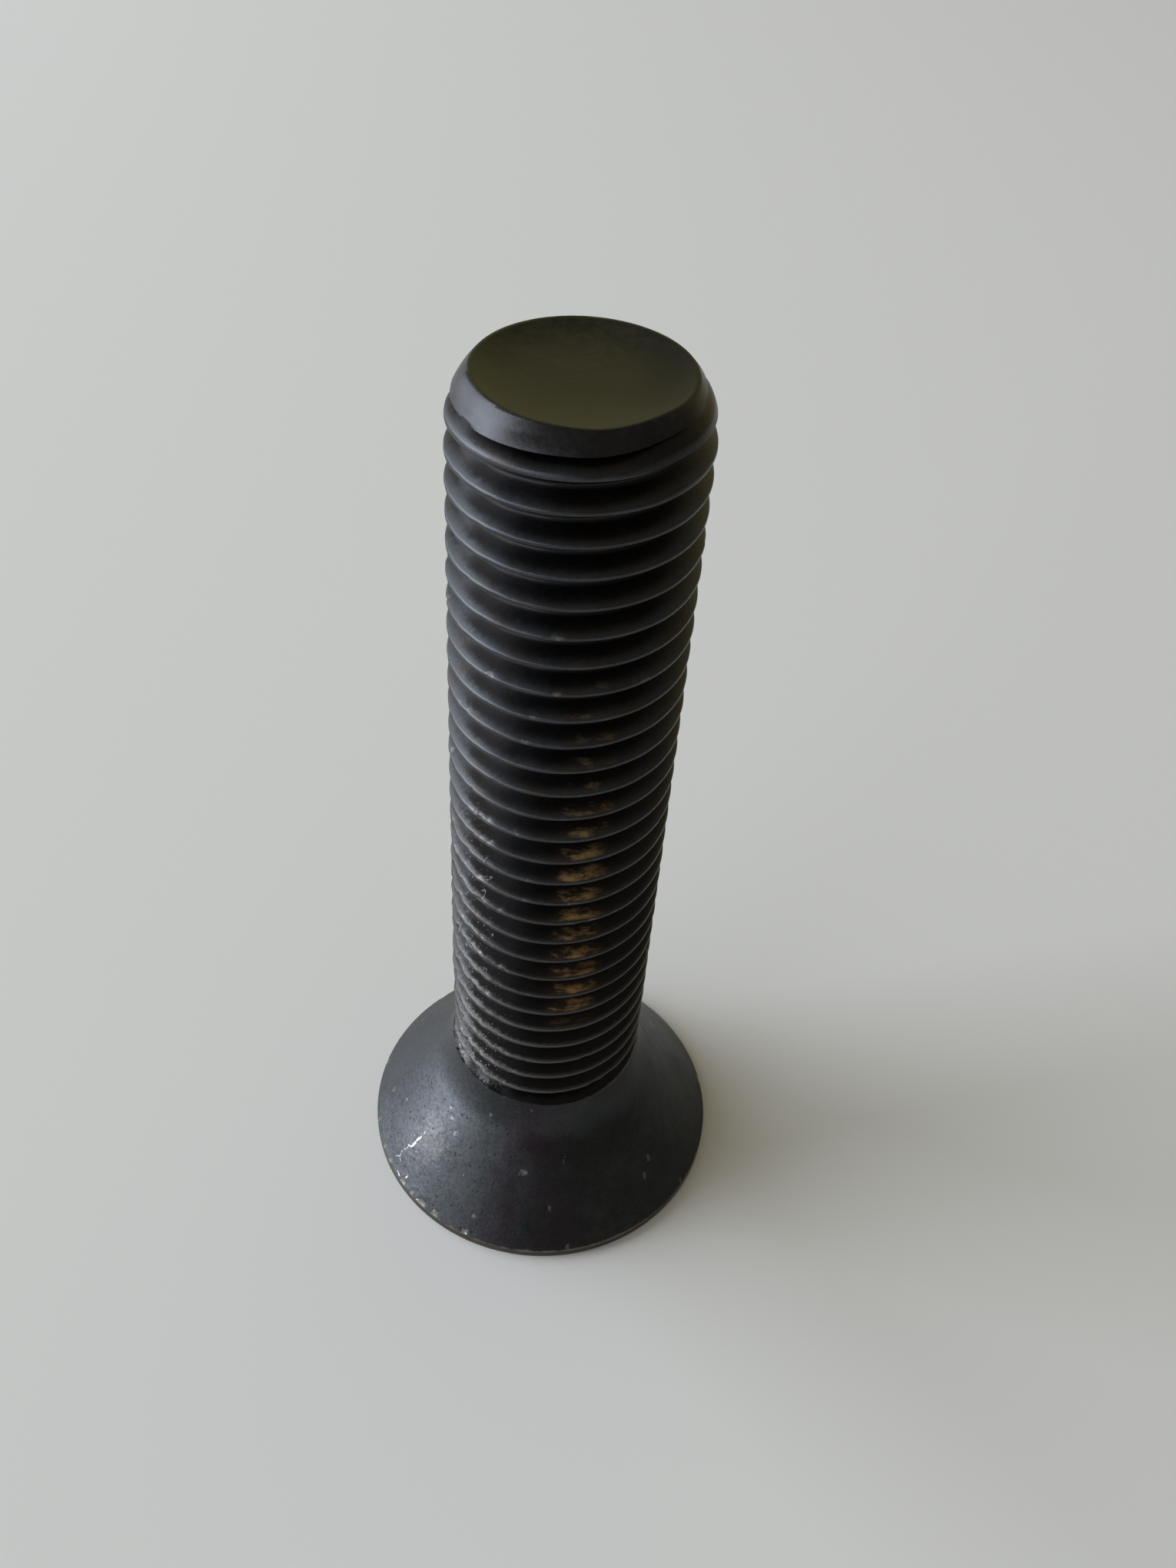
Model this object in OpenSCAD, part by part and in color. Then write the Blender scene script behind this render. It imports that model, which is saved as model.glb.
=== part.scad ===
// Blade bolt: a countersunk, fully threaded steel bolt, standing on its head.
// Millimetres. The origin is the centre of the flat head face, and +Z runs along the
// axis to the threaded end.

/* [Shank and thread] */
// Overall length, from the head face to the threaded end
overall_len = 88; // [60:0.5:105]
// Outside diameter, over the thread crests
thread_d = 18.95; // [17:0.05:21]
// Distance from one crest to the next
thread_pitch = 2.54; // [2.1:0.01:3.2]
// Angle between the two flanks of a groove
flank_angle = 60; // [50:1:64]
// Direction about the axis in which the crest runs out at the end face
start_angle = 288; // [0:1:359]
// Height over which the last groove runs out, above the neck
runout_h = 0.8; // [0.4:0.1:2]

/* [Head] */
// Diameter of the head at its rim
head_d = 35.8; // [30:0.1:44]
// Angle of the countersunk cone, measured right across
head_angle = 75; // [60:1:100]
// Height of the straight land at the rim
land_h = 1.05; // [0.5:0.05:3]
// Chamfer where the land meets the head face
face_break = 0.2; // [0.1:0.05:0.4]
// Radius of the fillet between the cone and the neck
fillet_r = 8; // [2:0.5:12]
// How far the plain neck, where the fillet ends, stands out beyond the crests
neck_step = 0.05; // [0.03:0.01:0.5]

/* [Wrench socket] */
// Width of the hex socket across its flats
socket_af = 12.7; // [8:0.1:16]
// Depth of the hex socket's flats below the head face
socket_depth = 8; // [4:0.5:12]
// Angle of the cone at the bottom of the socket, measured right across
socket_point_angle = 120; // [100:1:150]
// How far the conical lead-in reaches beyond the socket's corners, at the head face
socket_lead = 0.3; // [0.1:0.05:1]

/* [Threaded end] */
// Diameter of the end face, inside its rounded edge
tip_d = 15.5; // [13:0.1:16.5]
// Height of the rounded edge, from the first full crest to the end face
tip_h = 3.6; // [2:0.1:5]
// Radius of that rounding, seen from the side
tip_round_r = 6.7; // [5.5:0.1:20]
// Width of the flat lip left round the dish in the end face
lip_w = 0.25; // [0.15:0.05:2]
// Depth of the dish in the end face
dish_depth = 0.8; // [0.2:0.1:1.5]

/* [Fineness] */
// Flat faces in one turn of the thread
turn_steps = 40; // [24:4:44]

/* [Hidden] */
round_steps = 96;
margin = 1;

steel = [0.13, 0.135, 0.15];

// Thread form: crests an eighth of the pitch wide, with the standard depth of an outside thread
crest_w = thread_pitch/8;
full_v_h = thread_pitch/2/tan(flank_angle/2);
groove_h = full_v_h*17/24;
root_w = thread_pitch - crest_w - 2*groove_h*tan(flank_angle/2);

// Head: where the cone would meet the neck, and where the fillet ends above it
neck_r = thread_d/2 + neck_step;
cone_lean = head_angle/2;
cone_top_z = land_h + (head_d/2 - neck_r)/tan(cone_lean);
fillet_reach = fillet_r*tan(cone_lean/2);
neck_z = cone_top_z + fillet_reach;

// Socket: its corners, its lead-in, and the drilled hole, which stays a little inside the flats
corner_r = socket_af/2/cos(30);
mouth_r = corner_r + socket_lead;
drill_r = socket_af/2 - 0.2;

// Thread rows, four to a turn: the two edges of a crest, then the two edges of a root
row_rise = [-crest_w/2, crest_w/2, (thread_pitch - root_w)/2, (thread_pitch + root_w)/2];
row_depth = [0, 0, groove_h, groove_h];
turn_rows = len(row_rise);

// Turns of the helix. It starts inside the head and ends beyond the end face.
turns = ceil((overall_len - neck_z)/thread_pitch + 0.25) + 3;
rows = turn_rows*turns;

// How much of the groove's full depth is there at height z: none at the neck
function groove_share(z) = max(0, min(1, (z - neck_z)/runout_h));

// Height of a row at an angle about the axis. Rows count from the bottom, and the last crest
// but one passes the end face at start_angle.
function row_z(row, angle) = overall_len + row_rise[row % turn_rows]
    + thread_pitch*(floor(row/turn_rows) - turns + 2 + (angle - start_angle)/360);

// Point of the thread surface on one row, at one step round the axis
function thread_point(row, step) =
    let (angle = 360*step/turn_steps,
         z = row_z(row, angle),
         r = thread_d/2 - row_depth[row % turn_rows]*groove_share(z))
    [r*cos(angle), r*sin(angle), z];

// Number of a thread point in the list. One step past the last is the first, a turn higher.
function point_at(row, step) = step < turn_steps
    ? row*turn_steps + step
    : (row + turn_rows)*turn_steps + step - turn_steps;

// Threaded rod: a helical surface, closed by a fan at each end round a hub on the axis.
// The low fan is inside the head, and the high one is cut off with the end.
module thread_rod() {
    last_row = rows - 1;
    last_step = turn_steps - 1;
    low_hub = rows*turn_steps;
    high_hub = low_hub + 1;
    points = [for (row = [0 : last_row], step = [0 : last_step]) thread_point(row, step),
              [0, 0, row_z(0, 0) - margin],
              [0, 0, row_z(last_row, 360) + margin]];
    sides = [for (row = [0 : last_row - 1], step = [0 : last_step])
             if (step < last_step || row < last_row - turn_rows)
                 let (a = point_at(row, step),
                      b = point_at(row, step + 1),
                      c = point_at(row + 1, step + 1),
                      d = point_at(row + 1, step))
                 each [[a, d, c], [a, c, b]]];
    low_loop = [for (step = [0 : last_step]) point_at(0, step),
                for (row = [turn_rows : -1 : 1]) point_at(row, 0)];
    high_loop = [for (step = [0 : last_step]) point_at(last_row, step),
                 for (row = [last_row - 1 : -1 : last_row - turn_rows]) point_at(row, last_step)];
    loop_end = len(low_loop) - 1;
    low_fan = [for (i = [0 : loop_end])
               [low_hub, low_loop[i], low_loop[(i + 1) % (loop_end + 1)]]];
    high_fan = [for (i = [0 : loop_end])
                [high_hub, high_loop[(i + 1) % (loop_end + 1)], high_loop[i]]];
    polyhedron(points, [each sides, each low_fan, each high_fan]);
}

// Half outline of the space in which the thread is left standing. The end is rounded by an
// arc through the edge of the end face and through the crests, tip_h lower down.
module end_outline() {
    tip_r = tip_d/2;
    slope = [thread_d/2 - tip_r, -tip_h];
    half_chord = norm(slope)/2;
    inward = [slope.y, -slope.x]/norm(slope);
    arc_centre = [tip_r, overall_len] + slope/2
        + inward*sqrt(pow(tip_round_r, 2) - pow(half_chord, 2));
    square([tip_r, overall_len]);
    square([thread_d/2 + margin, arc_centre.y]);
    intersection() {
        square([thread_d/2 + margin, overall_len]);
        translate(arc_centre)
            circle(tip_round_r, $fn = round_steps);
    }
}

// Threaded shank with its rounded end, dished inside a thin lip
module shank() {
    dish_r = tip_d/2 - lip_w;
    ball_r = (pow(dish_r, 2) + pow(dish_depth, 2))/2/dish_depth;
    difference() {
        intersection() {
            thread_rod();
            rotate_extrude($fn = round_steps)
                end_outline();
        }
        translate([0, 0, overall_len - dish_depth + ball_r])
            sphere(ball_r, $fn = round_steps);
    }
}

// Half outline of the head, with the cone carried into the neck by a round fillet
module head_outline() {
    fillet_centre = [neck_r + fillet_r, neck_z];
    cone_touch = fillet_centre - fillet_r*[cos(cone_lean), sin(cone_lean)];
    difference() {
        polygon([[0, 0],
                 [head_d/2 - face_break, 0],
                 [head_d/2, face_break],
                 [head_d/2, land_h],
                 cone_touch,
                 fillet_centre,
                 [0, neck_z]]);
        translate(fillet_centre)
            circle(fillet_r, $fn = round_steps);
    }
}

// Hex socket in the head face, with a lead-in of 45 degrees and a drilled bottom
module wrench_socket() {
    translate([0, 0, -margin])
        cylinder(h = margin + mouth_r - drill_r, r1 = mouth_r + margin, r2 = drill_r,
                 $fn = round_steps);
    translate([0, 0, -margin])
        cylinder(h = socket_depth + margin, r = corner_r, $fn = 6);
    translate([0, 0, socket_depth])
        cylinder(h = drill_r/tan(socket_point_angle/2), r1 = drill_r, r2 = 0, $fn = round_steps);
}

module bolt() {
    color(steel)
        difference() {
            union() {
                rotate_extrude($fn = round_steps)
                    head_outline();
                shank();
            }
            wrench_socket();
        }
}

bolt();
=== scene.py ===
import bpy
import numpy as np
from mathutils import Matrix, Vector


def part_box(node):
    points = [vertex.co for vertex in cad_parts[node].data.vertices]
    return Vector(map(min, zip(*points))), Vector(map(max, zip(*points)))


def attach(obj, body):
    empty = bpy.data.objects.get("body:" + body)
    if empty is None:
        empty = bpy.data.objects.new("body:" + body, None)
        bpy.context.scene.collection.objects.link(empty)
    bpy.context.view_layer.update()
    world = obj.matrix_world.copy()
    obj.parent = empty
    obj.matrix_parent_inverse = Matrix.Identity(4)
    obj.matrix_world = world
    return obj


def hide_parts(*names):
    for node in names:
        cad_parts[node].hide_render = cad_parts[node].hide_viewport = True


# Blade bolt: a countersunk, fully threaded steel bolt in black oxide, battered by use.
#
# The shapes are worked out in millimetres and written as metres. Angles run round +Z from +X,
# so -90 degrees faces the camera and 180 degrees faces the brightest window.

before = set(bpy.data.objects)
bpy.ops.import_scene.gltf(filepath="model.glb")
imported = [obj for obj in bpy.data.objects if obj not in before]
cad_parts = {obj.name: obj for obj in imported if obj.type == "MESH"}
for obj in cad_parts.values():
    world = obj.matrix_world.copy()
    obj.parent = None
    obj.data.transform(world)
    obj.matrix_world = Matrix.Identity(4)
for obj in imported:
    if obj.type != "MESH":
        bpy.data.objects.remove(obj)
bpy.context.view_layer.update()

# ---------------------------------------------------------------- Sizes
MM = 0.001
HIGH = np.array(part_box("bolt")[1]) / MM

# Shank and thread, as in the part's source
LENGTH = HIGH[2]
THREAD_R = 9.475
PITCH = 2.54
FLANK = np.radians(30)
START = np.radians(288)
CREST_W = PITCH / 8
GROOVE_H = PITCH / 2 / np.tan(FLANK) * 17 / 24
RUNOUT_H = 0.8

# Head
HEAD_R = HIGH[:2].min()
LEAN = np.radians(37.5)
LAND_H = 1.05
FACE_BREAK = 0.2
RIM_ROUND = 0.35
FILLET_R = 8
NECK_R = THREAD_R + 0.05
NECK_Z = LAND_H + (HEAD_R - NECK_R) / np.tan(LEAN) + FILLET_R * np.tan(LEAN / 2)
CONE_TOP_R = NECK_R + FILLET_R * (1 - np.cos(LEAN))
CONE_LEN = (HEAD_R - CONE_TOP_R) / np.sin(LEAN)

# Wrench socket
SOCKET_FLAT = 12.7 / 2
SOCKET_MOUTH = SOCKET_FLAT / np.cos(np.radians(30)) + 0.3
SOCKET_DEPTH = 8
DRILL_R = SOCKET_FLAT - 0.2
DRILL_TOP = SOCKET_DEPTH + DRILL_R / np.tan(np.radians(60))

# Threaded end
TIP_R = 7.75
TIP_H = 3.6
TIP_ROUND = 6.7
LIP_W = 0.25
DISH_DEPTH = 0.8
DISH_SAG = 0.03

# Fineness of the mesh. The columns crowd together on the side that shows most wear.
COLUMNS = 160
CROWDING = 0.35
CROWDED_SIDE = np.radians(-132)

# Wear: the side of the shank that took the knocks, and the row of rubs up its crests, which
# stands at RUB_SIDE degrees between two heights
BATTERED_SIDE = np.radians(-152)
RUB_SIDE = -131
RUB_BOTTOM, RUB_TOP = 31, 55


# ---------------------------------------------------------------- Surface tools
WAVES = 36


def soft_min(a, b, width):
    """The lesser of a and b, with the corner where they cross rounded over the given width.

    With s = 0.5 + (b - a) / (2 width), held between 0 and 1, it is b + (a - b) s - width s (1 - s).
    """
    share = np.clip(0.5 + 0.5 * (b - a) / width, 0, 1)
    return b + (a - b) * share - width * share * (1 - share)


def soft_max(a, b, width):
    """The greater of a and b, with a rounded corner."""
    return -soft_min(-a, -b, width)


def rise(value, low, high):
    """0 below low, 1 above high, and 3 t^2 - 2 t^3 between, with t the share of the way."""
    share = np.clip((value - low) / (high - low), 0, 1)
    return share * share * (3 - 2 * share)


def fall(value, low, high):
    """1 below low, 0 above high, and the same curve between."""
    return rise(-value, -high, -low)


def turned(angle, middle):
    """Angle from a middle direction, wrapped to the half turn on either side of it."""
    return (angle - middle + np.pi) % (2 * np.pi) - np.pi


def ripple(points, wavelength, seed):
    """Smooth random field of about -1 to 1: the sum of cos(way . point + phase) over waves.

    The ways point in random directions, and their wavelengths vary a little about the given one.
    """
    rng = np.random.default_rng(seed)
    ways = rng.normal(size=(WAVES, 3))
    sizes = 2 * np.pi / wavelength * rng.uniform(0.6, 1.6, WAVES)
    ways *= (sizes / np.linalg.norm(ways, axis=1))[:, None]
    field = np.zeros(points.shape[:-1])
    for way, phase in zip(ways, rng.uniform(0, 2 * np.pi, WAVES)):
        field += np.cos(points @ way + phase)
    return field * np.sqrt(2 / WAVES) / 1.6


def dents(across, along, marks):
    """Depth and mask of a set of dents.

    A mark is (angle, along, half width, half height, depth), and across(angle) is the distance
    round the surface from that angle. A hollow is depth * exp(-q^2), where q is the elliptical
    distance from its middle. The metal that it pushed up stands round it as a ring at q = 1.5, a
    fifth as high.
    """
    depth = np.zeros(np.broadcast(across(0), along).shape)
    mask = np.zeros(depth.shape)
    for angle, middle, half_w, half_h, deep in marks:
        q = np.hypot(across(angle) / half_w, (along - middle) / half_h)
        depth += deep * (np.exp(-q**2) - 0.2 * np.exp(-((q - 1.5) / 0.35)**2))
        mask = np.maximum(mask, np.exp(-(q / 1.1)**4))
    return depth, mask


def ring_points(angle, radius, height):
    """Points at angles, radii and heights about the axis: (r cos a, r sin a, z)."""
    x, y, z = np.broadcast_arrays(radius * np.cos(angle), radius * np.sin(angle), height)
    return np.stack([x, y, z], axis=-1)


# ---------------------------------------------------------------- Shank
SCATTERED_NICKS = 70
CROWDED_NICKS = 240


def crest_height(angle):
    """Height of the helix's crest at an angle, on the turn that meets the end."""
    return LENGTH + PITCH * ((angle - START) / (2 * np.pi))


def above_crest(angle, height):
    """Height above the nearest crest, within half a pitch either way."""
    turn = (height - crest_height(angle)) / PITCH
    return (turn - np.round(turn)) * PITCH


def battering(angle, height):
    """How battered the thread is, 0 to 1: worst low down on the side that took the knocks."""
    side = np.exp(-(turned(angle, BATTERED_SIDE) / np.radians(34))**2)
    return side * (0.2 + 0.45 * fall(height, 30, 58) + 0.35 * fall(height, 20, 32))


def crest_nicks():
    """Nicks in the crests: scattered ones, a crowd on the battered side, and one row of rubs."""
    rng = np.random.default_rng(11)
    angle = np.concatenate([rng.uniform(-np.pi, np.pi, SCATTERED_NICKS),
                            np.radians(rng.normal(-143, 19, CROWDED_NICKS))])
    height = np.concatenate([rng.uniform(NECK_Z + 1, LENGTH - TIP_H, SCATTERED_NICKS),
                             NECK_Z + 0.5 + 62 * rng.beta(1.0, 2.6, CROWDED_NICKS)])
    rub_height = np.arange(RUB_BOTTOM, RUB_TOP, PITCH)
    rub_angle = np.radians(RUB_SIDE + rng.normal(0, 1.2, len(rub_height)))
    angle = np.concatenate([angle, rub_angle])
    height = np.concatenate([height, rub_height])
    count = len(angle)
    height = height - above_crest(angle, height) + rng.uniform(-0.25, 0.15, count)
    half_w = rng.uniform(0.22, 0.5, count)
    half_h = rng.uniform(0.15, 0.3, count)
    depth = rng.uniform(0.02, 0.09, count)
    return np.stack([angle, height, half_w, half_h, depth], axis=1)


def end_radius(height):
    """Radius of the rounded end: an arc through the edge of the end face and the first full crest.

    The arc's radius is R and its middle lies at (c, z0), so the radius is c + sqrt(R^2 - (z - z0)^2)
    above z0. Below z0 it widens, so that it leaves the thread alone.
    """
    chord = np.array([THREAD_R - TIP_R, -TIP_H])
    inward = np.array([chord[1], -chord[0]]) / np.hypot(*chord)
    centre = np.array([TIP_R, LENGTH]) + chord / 2
    centre += inward * np.sqrt(TIP_ROUND**2 - np.hypot(*chord)**2 / 4)
    bow = TIP_ROUND**2 - np.maximum(height - centre[1], 0)**2
    return centre[0] + np.sqrt(bow) + 4 * rise(centre[1] - height, 0, 4)


def shank_radius(angle, height):
    """Radius and marks of the shank.

    At a height h from the nearest crest, the depth is (|h| - crest width / 2) / tan(flank), from
    nothing on the crest to the groove's own depth in the root, with both corners rounded. The
    groove fades out at the neck, and the last crest is swaged down over it at the end. Crests are
    rubbed flat where the thread is battered, nicks bite into them, and the rounded end cuts
    everything off. A burr stands on the battered side where the thread begins.
    """
    points = ring_points(angle, THREAD_R, height)
    above = above_crest(angle, height)
    swaged = 0.95 * rise(height, LENGTH - 2.4, LENGTH - 1.6) * (above < 0)
    flank = (np.abs(above) - CREST_W / 2 - swaged) / np.tan(FLANK)
    depth = soft_min(soft_max(flank, 0, 0.2), GROOVE_H, 0.35)
    neck = NECK_Z + 0.1 * ripple(points, 3, 21)
    depth = depth * rise(height, neck - 0.05, neck + RUNOUT_H)

    battered = battering(angle, height)
    rubbed = 0.16 * battered * (1 + 0.8 * ripple(points, 1.6, 22))
    radius = soft_min(THREAD_R - depth, THREAD_R - rubbed, 0.05)
    radius = radius + 0.012 * ripple(points, 4, 23)

    dent, nicked = dents(lambda middle: turned(angle, middle) * THREAD_R, height, crest_nicks())
    radius = radius - dent

    burr = np.exp(-((height - NECK_Z - 0.35) / 0.16)**2)
    burr = burr * fall(np.abs(turned(angle, BATTERED_SIDE)), 0.4, 0.7)
    radius = radius + 0.2 * burr * (0.8 + 0.5 * ripple(points, 1, 24))

    lip = 0.15 * np.exp(-(turned(angle, np.radians(-82)) / 0.22)**2)
    lip = lip - 0.22 * np.exp(-(turned(angle, np.radians(-47)) / 0.3)**2)
    radius = soft_min(radius, end_radius(height) + lip, 0.25)
    return radius, np.maximum(0.6 * nicked * (dent > 0.01), burr), battered


# ---------------------------------------------------------------- Head
# Dents in the cone: angle in degrees, distance up from the rim, half width, half height, depth
CONE_DENTS = [
    (-96.6, 8.1, 0.42, 0.3, 0.1), (-165.5, 5.2, 0.2, 0.16, 0.05), (-175, 3.0, 0.3, 0.25, 0.06),
    (-143.2, 10.4, 0.2, 0.2, 0.07), (-139, 9.7, 0.3, 0.18, 0.05), (-133.5, 8.8, 0.2, 0.3, 0.05),
    (-95.5, 15.2, 0.18, 0.16, 0.06), (-119.5, 12.9, 0.2, 0.15, 0.05), (-112, 2.2, 0.2, 0.2, 0.05),
    (-84.5, 4.4, 0.15, 0.4, 0.03), (-39, 5.4, 0.25, 0.25, 0.03), (-44, 4.1, 0.2, 0.3, 0.03),
    (30, 7, 0.4, 0.3, 0.06), (74, 4, 0.5, 0.3, 0.06), (118, 9, 0.3, 0.4, 0.05),
    (150, 3, 0.4, 0.3, 0.06)]

# Chips in the rim: angle in degrees, half width, depth. They share a place and a half height.
RIM_CHIPS = [
    (-167.5, 0.12, 0.05), (-157, 0.14, 0.06), (-151, 0.25, 0.08), (-141.5, 0.4, 0.1),
    (-136.6, 0.2, 0.08), (-131.5, 0.5, 0.12), (-125.5, 0.4, 0.08), (-113.5, 0.35, 0.08),
    (-79, 0.2, 0.06), (-30.6, 0.2, 0.08), (12, 0.4, 0.08), (48, 0.3, 0.07), (95, 0.6, 0.1),
    (133, 0.4, 0.08), (168, 0.4, 0.07)]
CHIP_UP = 0.2
CHIP_HALF_H = 0.32


def steps(first, last, count):
    """That many even steps from first to last, without the first itself."""
    return np.linspace(first, last, count + 1)[1:]


def head_outline():
    """Rings of the head's outside, from the neck down to the face.

    Returns radius, height, the profile's outward direction and the distance up from the rim. The
    fillet, the rim's round and the face's broken edge are arcs r (1 - cos t), r sin t.
    """
    turn = steps(0, LEAN, 14)
    fillet = [NECK_R + FILLET_R * (1 - np.cos(turn)), NECK_Z - FILLET_R * np.sin(turn), turn]
    reach = RIM_ROUND * np.tan(LEAN / 2)
    down = steps(0, 1, 36) * (CONE_LEN - reach)
    cone = [CONE_TOP_R + down * np.sin(LEAN),
            NECK_Z - FILLET_R * np.sin(LEAN) - down * np.cos(LEAN), 0 * down + LEAN]
    turn = steps(LEAN, 0, 4)
    edge = [HEAD_R - RIM_ROUND * (1 - np.cos(turn)), LAND_H - reach + RIM_ROUND * np.sin(turn), turn]
    drop = steps(LAND_H - reach, FACE_BREAK, 3)
    land = [0 * drop + HEAD_R, drop, 0 * drop]
    turn = np.radians([-30, -60, -90])
    bottom = [HEAD_R - FACE_BREAK * (1 - np.cos(turn)), FACE_BREAK * (1 + np.sin(turn)), turn]
    radius, height, tilt = np.concatenate([fillet, cone, edge, land, bottom], axis=1)
    lengths = np.hypot(np.diff(radius), np.diff(height))
    slant = np.concatenate([[0], np.cumsum(lengths)])
    slant = slant[len(fillet[0]) + len(cone[0])] - slant
    return radius, height, tilt, slant


def head_point(angle, slant):
    """Point on the cone or fillet at an angle in degrees, a distance up from the rim."""
    radius, height, _, up = head_outline()
    return ring_points(np.radians(angle), np.interp(slant, up[::-1], radius[::-1]),
                       np.interp(slant, up[::-1], height[::-1]))


def head_surface(angle):
    """Points and marks of the head's outside, ring by ring.

    The outline turned about the axis, moved along its own normal by the forging's waviness, by
    dents in the cone and by chips in the rim. Nothing stands out past the rim's radius.
    """
    radius, height, tilt, slant = (values[:, None] for values in head_outline())
    points = ring_points(angle, radius, height)
    cone = rise(slant, 0.5, 2) * fall(slant, CONE_LEN + 3, CONE_LEN + 5.2)
    worn = np.exp(-(turned(angle, np.radians(-142)) * radius / 2.8)**2 - ((slant - 6) / 3.6)**2)
    shift = cone * (0.03 * ripple(points, 9, 31) + 0.008 * ripple(points, 1.8, 32))
    shift += cone * worn * 0.012 * ripple(points, 0.8, 33)
    chips = [(side, CHIP_UP, half_w, CHIP_HALF_H, deep) for side, half_w, deep in RIM_CHIPS]
    marks = [(np.radians(side), *sizes) for side, *sizes in CONE_DENTS + chips]
    dent, marked = dents(lambda middle: turned(angle, middle) * radius, slant, marks)
    shift -= dent * (height > FACE_BREAK)
    radius = np.minimum(radius + shift * np.cos(tilt), HEAD_R)
    height = height + shift * np.sin(tilt) * (height > FACE_BREAK)
    return ring_points(angle, radius, height), marked * (dent > 0.01), worn


def socket_rings(angle):
    """Rings of the face and the wrench socket, from the rim inwards and up to the drill's point.

    The hexagon's radius is its half width over the cosine of the angle from the nearest flat's
    middle. The lead-in cone at 45 degrees meets it at a depth equal to the radius it has lost.
    """
    sixth = np.pi / 3
    hexagon = SOCKET_FLAT / np.cos((angle % sixth) - sixth / 2)
    rings = [(radius, 0) for radius in np.linspace(HEAD_R - 2.5, SOCKET_MOUTH, 4)]
    rings += [(hexagon, SOCKET_MOUTH - hexagon)]
    rings += [(hexagon, height) for height in np.linspace(2, SOCKET_DEPTH, 4)]
    rings += [(DRILL_R * share, DRILL_TOP - (DRILL_TOP - SOCKET_DEPTH) * share)
              for share in (1, 0.75, 0.5, 0.25, 0.1)]
    return np.stack([ring_points(angle, radius, height) for radius, height in rings])


# ---------------------------------------------------------------- End face
# Rings of the dish, as shares of the way out to its edge
DISH_SHARES = [1, 0.985, 0.965, 0.94, 0.91, 0.87, 0.82, 0.76, 0.68, 0.58, 0.46, 0.33, 0.2, 0.08]


def end_rings(lip):
    """Rings of the end face, from its edge inwards: a narrow lip, a steep wall and a flat dish.

    With t the share of the way out to the dish's edge, the depth is that of the dish times
    1 - (0.4 t^2 + 0.6 t^5), and a sag times 1 - t^8. The sagging part ripples a little.
    """
    out = np.hypot(lip[:, 0], lip[:, 1])
    angle = np.arctan2(lip[:, 1], lip[:, 0])
    share = np.array(DISH_SHARES)[:, None]
    depth = DISH_DEPTH * (1 - 0.4 * share**2 - 0.6 * share**5)
    depth = depth + DISH_SAG * (1 - share**8)
    points = ring_points(angle, share * (out - LIP_W), LENGTH - depth)
    points[..., 2] += (1 - share**8) * 0.015 * ripple(points, 5, 41)
    return points


# ---------------------------------------------------------------- Mesh of the bolt
# Marks that the finishes read, 0 to 1: the rim's rubbed edge; nicks, dents and burrs; wear, which
# is battering on the shank and a worn patch on the cone; and stain_and_glint, which is golden residue,
# partly a painted warm reflection, on the thread, and browning on the land
MARKS = ("edge", "nick", "worn", "stain_and_glint")

# Heights of the mesh's rows about a crest, from the root below it nearly to the root above
ROW_RISES = np.array([-1.27, -1.12, -0.98, -0.62, -0.23, -0.16, -0.08,
                      0.02, 0.12, 0.18, 0.26, 0.42, 0.68, 0.96, 1.1])

# Rows that come this close to a ring that ends the shank become part of it
ROW_GAP = 0.02


def column_angles(count):
    """Angles of the mesh's columns: even steps, drawn by a sine towards the crowded side."""
    even = np.arange(count) / count * 2 * np.pi
    return even - CROWDING * np.sin(even - CROWDED_SIDE)


def snapped_to_corners(angle):
    """The same angles with the nearest one moved to each corner of the hexagon."""
    moved = angle.copy()
    for corner in np.arange(6) * np.pi / 3:
        moved[np.argmin(np.abs(turned(angle, corner)))] = corner
    return moved


def numbered(first, rings):
    """Vertex numbers of a stack of rings, counted on from the first."""
    return first + np.arange(rings[..., 0].size).reshape(rings.shape[:2])


def triangles(a, b, c, d):
    """Two triangles for every four-sided patch with corners a, b, c, d."""
    return np.concatenate([np.stack([a, b, c], 1), np.stack([a, c, d], 1)])


def band(lower, upper):
    """Triangles between two closed rings of vertex numbers, facing away from the axis."""
    return triangles(lower, np.roll(lower, -1), np.roll(upper, -1), upper)


def bands(rings):
    """Triangles down a stack of rings."""
    return np.concatenate([band(low, high) for high, low in zip(rings[:-1], rings[1:])])


def fan(ring, middle):
    """Triangles from a closed ring to one vertex, the same way round as the ring."""
    return np.stack([ring, np.roll(ring, -1), 0 * ring + middle], 1)


def shank_marks(angle, height, nicked, battered):
    """Marks of the shank: nicks, battering, and golden residue, partly a painted warm reflection, on
    the upper flanks facing the camera.
    """
    above = above_crest(angle, height)
    upper = rise(above, 0.1, 0.3) * fall(above, 0.5, 0.95)
    stain_and_glint = np.exp(-(np.abs(turned(angle, np.radians(-76))) / 0.25)**4) * upper
    stain_and_glint = stain_and_glint * (0.35 + 0.25 * fall(height, 62, 72) + 0.4 * fall(height, 52, 60))
    stain_and_glint = stain_and_glint * rise(height, 24, 31) * (1 - 0.8 * rise(height, 66, 84))
    return np.stack([0 * stain_and_glint, nicked, battered, stain_and_glint], -1).reshape(-1, len(MARKS))


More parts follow.
